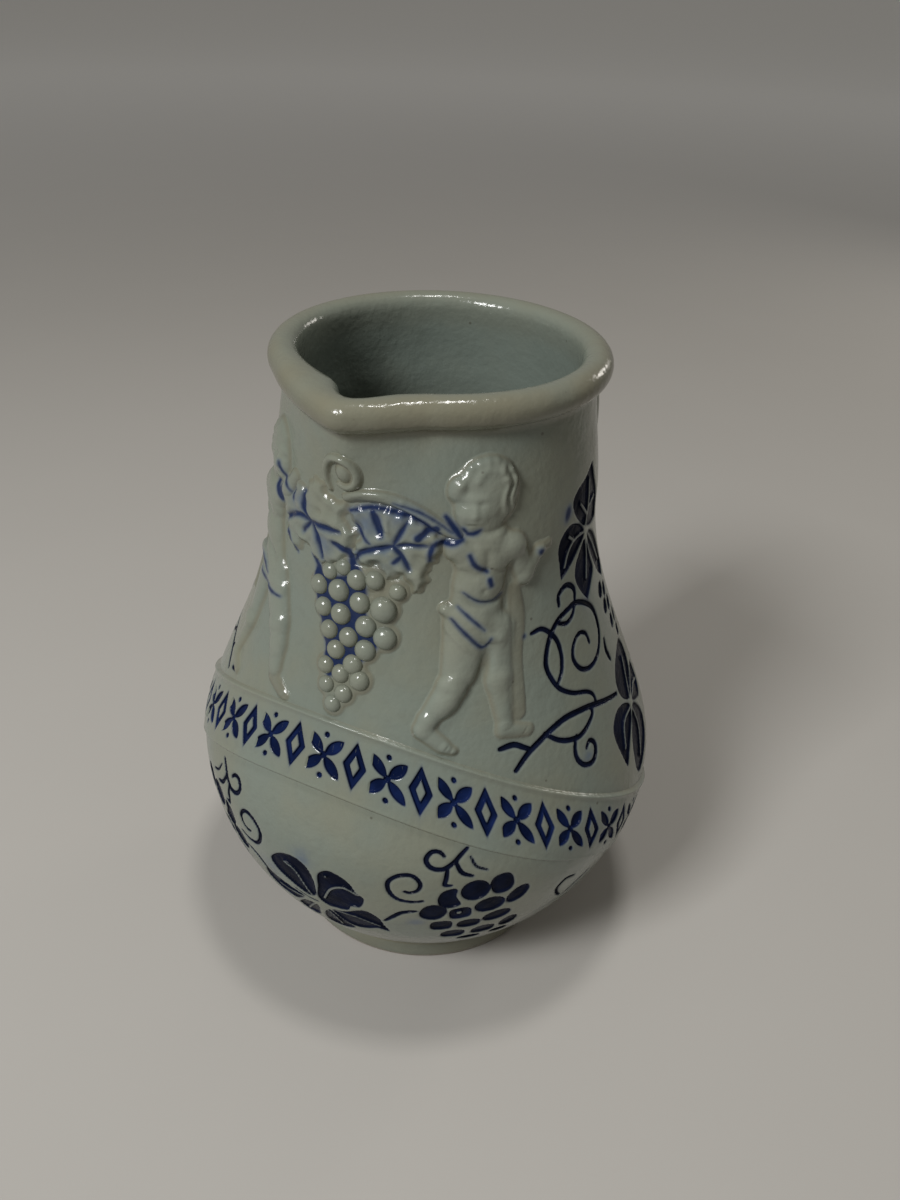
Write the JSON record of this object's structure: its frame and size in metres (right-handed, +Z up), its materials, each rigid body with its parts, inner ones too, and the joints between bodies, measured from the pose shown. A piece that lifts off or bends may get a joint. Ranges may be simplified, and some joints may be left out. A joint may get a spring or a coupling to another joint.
{
  "type": "ceramic wine jug",
  "caption": "Pear-shaped stoneware wine jug with pinched lip, rolled rim, strap handle, arched belly band and applied vine relief.",
  "frame": {"origin": "centre of the base, on the surface the jug stands on", "axes": "+Z up along the jug's axis, the lip points towards -Y, the handle towards +Y, +X to the right when the lip faces the viewer"},
  "size_m": [0.1372, 0.1687, 0.18],
  "materials": {
    "body_glaze": "salt-glazed grey-green stoneware, glossy with a fine orange peel, brownish on rim and foot",
    "band_glaze": "same glaze as the body, with incised ornament filled with dark cobalt",
    "relief_glaze": "same glaze, slightly paler on the raised relief, cobalt painted in the hollows",
    "leaf_glaze": "same glaze with a light cobalt wash and painted cobalt veins"
  },
  "bodies": {
    "root": {"jug_body": "body_glaze", "handle": "body_glaze", "belly_band": "band_glaze", "bearer_right": "relief_glaze", "bearer_left": "relief_glaze", "carrying_pole": "relief_glaze", "grape_bunch": "relief_glaze", "leaf_left": "leaf_glaze", "leaf_right": "leaf_glaze", "vine_curl": "relief_glaze"}
  },
  "joints": []
}
